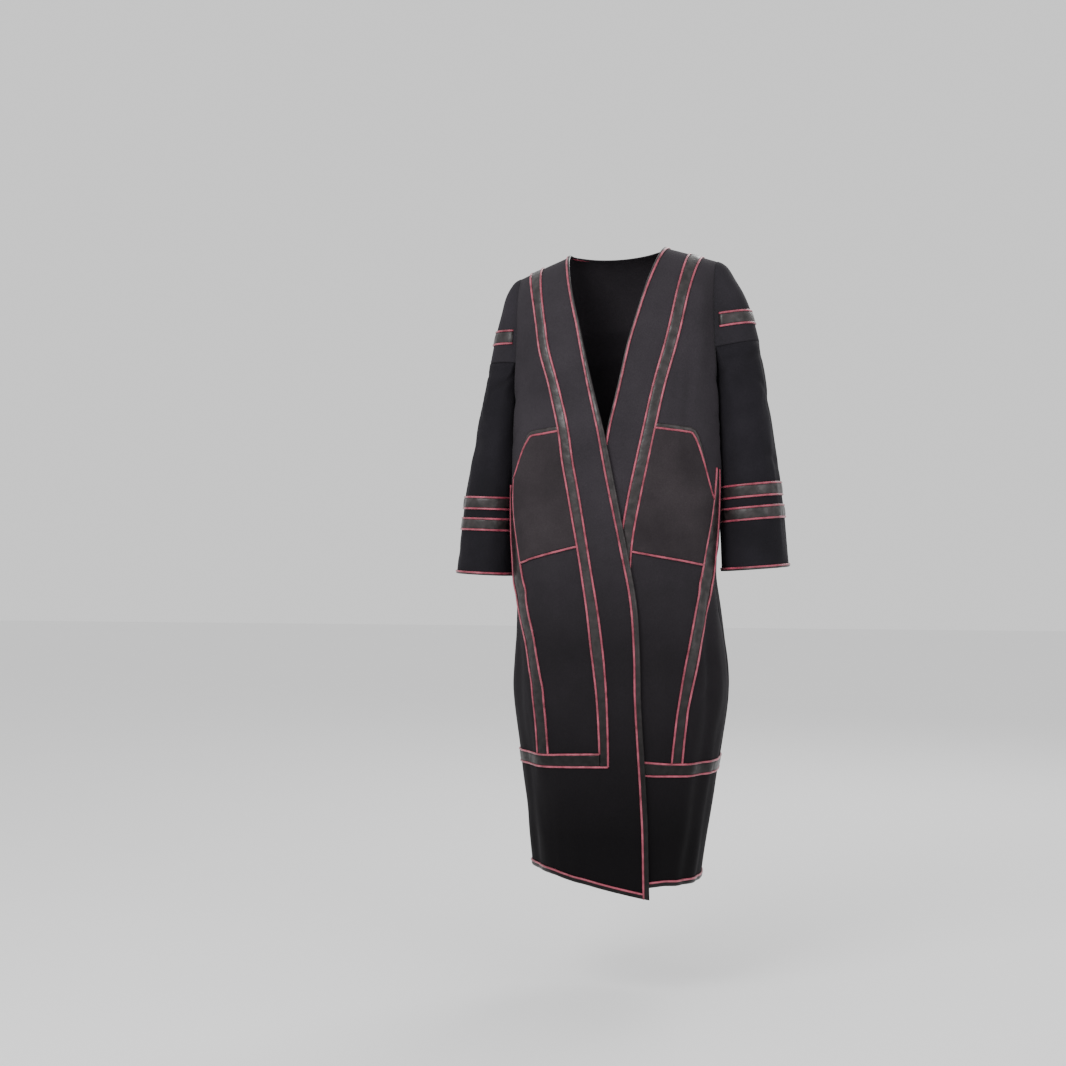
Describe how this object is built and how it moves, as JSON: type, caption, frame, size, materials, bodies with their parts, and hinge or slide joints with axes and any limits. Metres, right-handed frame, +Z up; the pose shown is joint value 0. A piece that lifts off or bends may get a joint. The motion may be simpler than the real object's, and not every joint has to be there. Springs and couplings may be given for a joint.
{
  "type": "long robe",
  "caption": "Long open-front robe in its worn, hollow form: lapped V front, dropped shoulders, wide sleeves, patch pockets, satin bands and contrast piping.",
  "frame": {"origin": "between the shoulders at the height of the base of the neck, where the wearer's shoulders hold the robe up", "axes": "+Z up, the front faces -Y, +X is the wearer's left"},
  "size_m": [0.6984, 0.3478, 1.3271],
  "materials": {
    "body_cloth": "heavy smooth black cloth with a short soft nap",
    "satin": "dull greyish black satin ribbon with a crinkled sheen",
    "piping": "pink-red satin piping cord"
  },
  "bodies": {
    "root": {"back": "body_cloth", "front_left": "body_cloth", "front_right": "body_cloth", "shoulder_cap_left": "body_cloth", "shoulder_cap_right": "body_cloth", "sleeve_left": "body_cloth", "sleeve_right": "body_cloth", "pocket_left": "body_cloth", "pocket_right": "body_cloth", "hem_band": "satin", "hem_binding": "satin", "edge_binding": "satin", "hem_band_top_piping": "piping", "hem_band_bottom_piping": "piping", "hem_piping": "piping", "edge_piping": "piping", "pocket_binding_left": "satin", "front_band_left": "satin", "side_band_left": "satin", "cap_band_left": "satin", "sleeve_band_upper_left": "satin", "sleeve_band_lower_left": "satin", "cuff_binding_left": "satin", "pocket_top_piping_left": "piping", "pocket_bottom_piping_left": "piping", "front_band_inner_piping_left": "piping", "front_band_outer_piping_left": "piping", "side_band_inner_piping_left": "piping", "side_band_outer_piping_left": "piping", "cap_band_top_piping_left": "piping", "cap_band_bottom_piping_left": "piping", "sleeve_upper_top_piping_left": "piping", "sleeve_upper_bottom_piping_left": "piping", "sleeve_lower_top_piping_left": "piping", "sleeve_lower_bottom_piping_left": "piping", "cuff_piping_left": "piping", "pocket_binding_right": "satin", "front_band_right": "satin", "side_band_right": "satin", "cap_band_right": "satin", "sleeve_band_upper_right": "satin", "sleeve_band_lower_right": "satin", "cuff_binding_right": "satin", "pocket_top_piping_right": "piping", "pocket_bottom_piping_right": "piping", "front_band_inner_piping_right": "piping", "front_band_outer_piping_right": "piping", "side_band_inner_piping_right": "piping", "side_band_outer_piping_right": "piping", "cap_band_top_piping_right": "piping", "cap_band_bottom_piping_right": "piping", "sleeve_upper_top_piping_right": "piping", "sleeve_upper_bottom_piping_right": "piping", "sleeve_lower_top_piping_right": "piping", "sleeve_lower_bottom_piping_right": "piping", "cuff_piping_right": "piping"}
  },
  "joints": []
}
